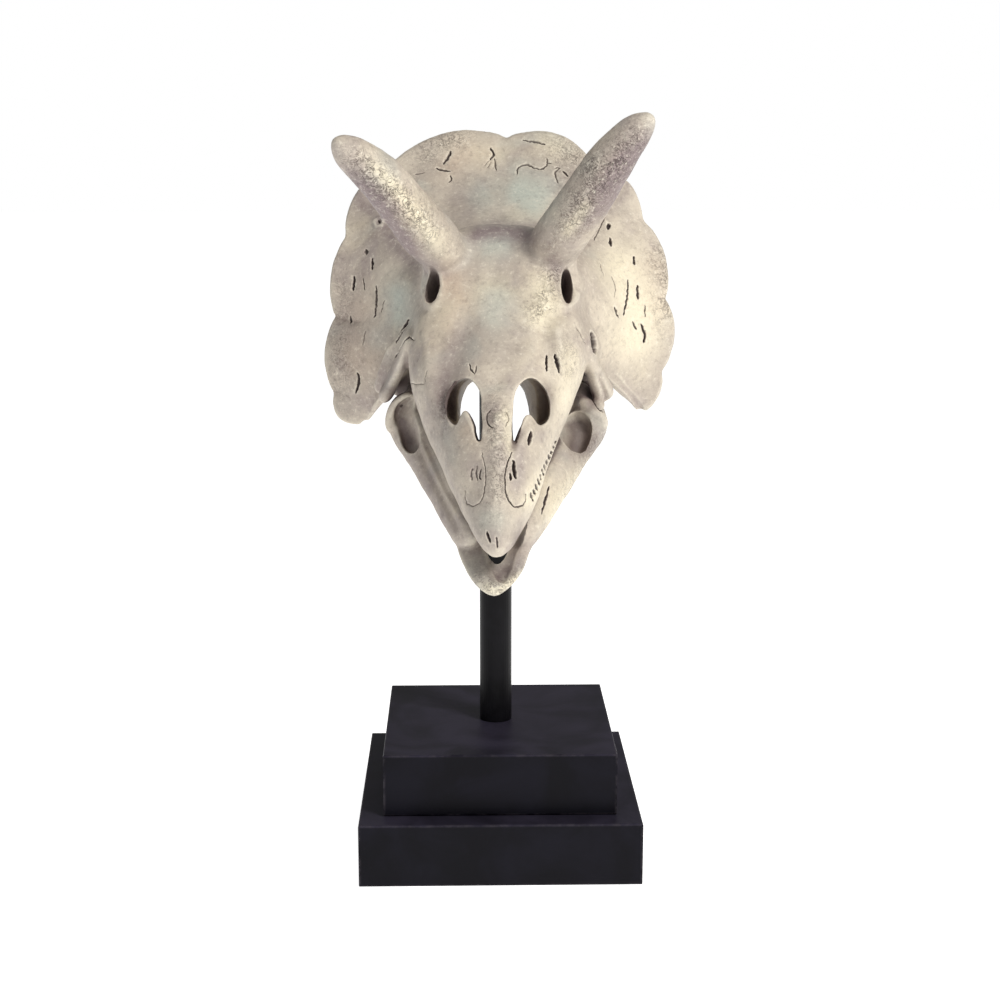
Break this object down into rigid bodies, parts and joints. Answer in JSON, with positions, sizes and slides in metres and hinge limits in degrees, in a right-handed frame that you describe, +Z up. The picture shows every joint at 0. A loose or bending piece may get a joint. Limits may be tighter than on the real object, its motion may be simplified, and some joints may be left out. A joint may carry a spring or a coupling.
{
  "type": "horned dinosaur skull sculpture on a stand",
  "caption": "Painted resin cast of a horned dinosaur's skull, nose down and mouth ajar, on a black pole and a stepped square plinth.",
  "frame": {"origin": "centre of the plinth's underside, where it rests", "axes": "+Z up, the face looks along -Y, +X is the right of someone who looks at the face"},
  "size_m": [0.2847, 0.3105, 0.5734],
  "materials": {
    "bone_cast": "satin",
    "black_plinth": "satin lacquer",
    "black_pole": "gloss"
  },
  "bodies": {
    "root": {"cranium": "bone_cast", "snout": "bone_cast", "rostral_beak": "bone_cast", "frill_squamosal_left": "bone_cast", "frill_parietal": "bone_cast", "frill_squamosal_right": "bone_cast", "predentary": "bone_cast", "brow_horn_left": "bone_cast", "brow_horn_right": "bone_cast", "cheek_horn_left": "bone_cast", "cheek_horn_right": "bone_cast", "quadrate_left": "bone_cast", "quadrate_right": "bone_cast", "mandible_left": "bone_cast", "mandible_right": "bone_cast", "stand_plinth_lower": "black_plinth", "stand_plinth_upper": "black_plinth", "stand_pole": "black_pole"}
  },
  "joints": []
}
